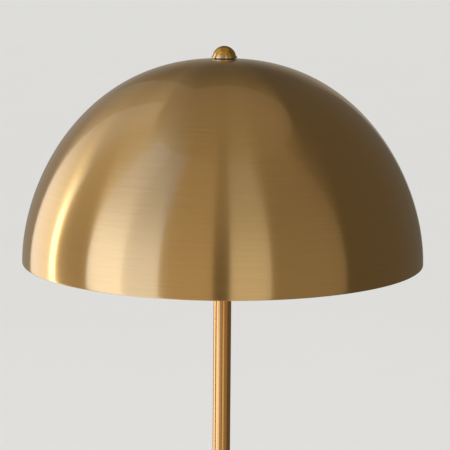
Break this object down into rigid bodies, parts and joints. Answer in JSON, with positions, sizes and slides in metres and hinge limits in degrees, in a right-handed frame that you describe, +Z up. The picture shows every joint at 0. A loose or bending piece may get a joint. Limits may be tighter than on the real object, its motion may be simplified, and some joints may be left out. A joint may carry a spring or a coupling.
{
  "type": "mushroom floor lamp",
  "caption": "Floor lamp with a spun brass dome shade on a harp, a polished finial, a slim brass pole and a round weighted base.",
  "frame": {"origin": "centre of the base's underside, on the floor", "axes": "+Z up along the pole; the harp lies in the XZ plane; the switch knob points to -Y, the front; the cord inlet is at +Y, the back"},
  "size_m": [0.4, 0.4, 1.5],
  "materials": {
    "brushed_brass": "satin lacquered, spun or drawn",
    "polished_brass": "polished lacquered",
    "plated_brass": "bright brass plated",
    "raw_brass": "machined",
    "zinc_steel": "zinc plated",
    "aluminium_shell": "rolled, bright",
    "iron": "as cast, sealed",
    "felt": "black felt",
    "rubber": "moulded",
    "white_plastic": "moulded",
    "opal_plastic": "opal, satin",
    "black_phenolic": "moulded",
    "fibre": "pressed fibre",
    "board": "printed circuit laminate",
    "brown_lead": "insulation",
    "blue_lead": "insulation",
    "earth_lead": "insulation"
  },
  "bodies": {
    "stand": {"base_collar": "polished_brass", "base_nipple": "zinc_steel", "base_nut": "zinc_steel", "base_pad": "felt", "base_plate": "zinc_steel", "base_shell": "brushed_brass", "base_washer": "zinc_steel", "base_weight": "iron", "block_screws": "zinc_steel", "cap_screw": "zinc_steel", "centre_contact": "raw_brass", "clamp_screws": "zinc_steel", "cord_bush": "rubber", "coupling_nipples": "raw_brass", "earth_screw": "zinc_steel", "earth_tag": "zinc_steel", "harp": "plated_brass", "harp_saddle": "plated_brass", "harp_stud": "raw_brass", "lead_earth": "earth_lead", "lead_live": "brown_lead", "lead_neutral": "blue_lead", "plate_screws": "zinc_steel", "pole_cap": "polished_brass", "pole_inserts": "zinc_steel", "pole_lower": "brushed_brass", "pole_middle": "brushed_brass", "pole_upper": "brushed_brass", "screw_shell": "aluminium_shell", "socket_cap": "plated_brass", "socket_shell": "plated_brass", "socket_sleeve": "fibre", "switch_body": "black_phenolic", "terminal_barrels": "raw_brass", "terminal_block": "white_plastic", "terminal_screws": "raw_brass", "top_nipple": "raw_brass"},
    "ferrule_left": {"ferrule_left": "plated_brass"},
    "ferrule_right": {"ferrule_right": "plated_brass"},
    "switch": {"switch_shaft": "zinc_steel", "switch_knob": "black_phenolic"},
    "bulb_tip": {"bulb_contact": "raw_brass", "bulb_insulator": "black_phenolic"},
    "bulb": {"bulb_cap": "aluminium_shell", "bulb_housing": "white_plastic", "bulb_diffuser": "opal_plastic", "led_board": "board", "driver_board": "board"},
    "shade": {"shade": "brushed_brass", "shade_washer": "zinc_steel", "finial_washer": "felt"},
    "finial_screw": {"finial_insert": "raw_brass"},
    "finial": {"finial_knob": "polished_brass"}
  },
  "joints": [
    {"name": "shade_lift", "type": "slide", "parent": "stand", "child": "shade", "axis": [0, 0, 1], "range_m": [0, 0.23]},
    {"name": "finial_rise", "type": "slide", "parent": "shade", "child": "finial_screw", "axis": [0, 0, 1], "range_m": [0, 0.00753]},
    {"name": "finial_turn", "type": "hinge", "parent": "finial_screw", "child": "finial", "pos_m": [0, 0, 1.488], "axis": [0, 0, 1], "range_deg": [0, 2880]},
    {"name": "bulb_rise", "type": "slide", "parent": "stand", "child": "bulb_tip", "axis": [0, 0, 1], "range_m": [0, 0.01089]},
    {"name": "bulb_turn", "type": "hinge", "parent": "bulb_tip", "child": "bulb", "pos_m": [0, 0, 1.3095], "axis": [0, 0, 1], "range_deg": [0, 1080]},
    {"name": "switch_turn", "type": "hinge", "parent": "stand", "child": "switch", "pos_m": [0, -0.024, 1.292], "axis": [0, -1, 0], "continuous": true},
    {"name": "ferrule_left_slide", "type": "slide", "parent": "stand", "child": "ferrule_left", "axis": [0, 0, 1], "range_m": [0, 0.014]},
    {"name": "ferrule_right_slide", "type": "slide", "parent": "stand", "child": "ferrule_right", "axis": [0, 0, 1], "range_m": [0, 0.014]}
  ],
  "couplings": [
    {"joint": "finial_rise", "follows": "finial_turn", "m_per_rad": 0.00014972},
    {"joint": "bulb_rise", "follows": "bulb_turn", "m_per_rad": 0.00057751}
  ]
}
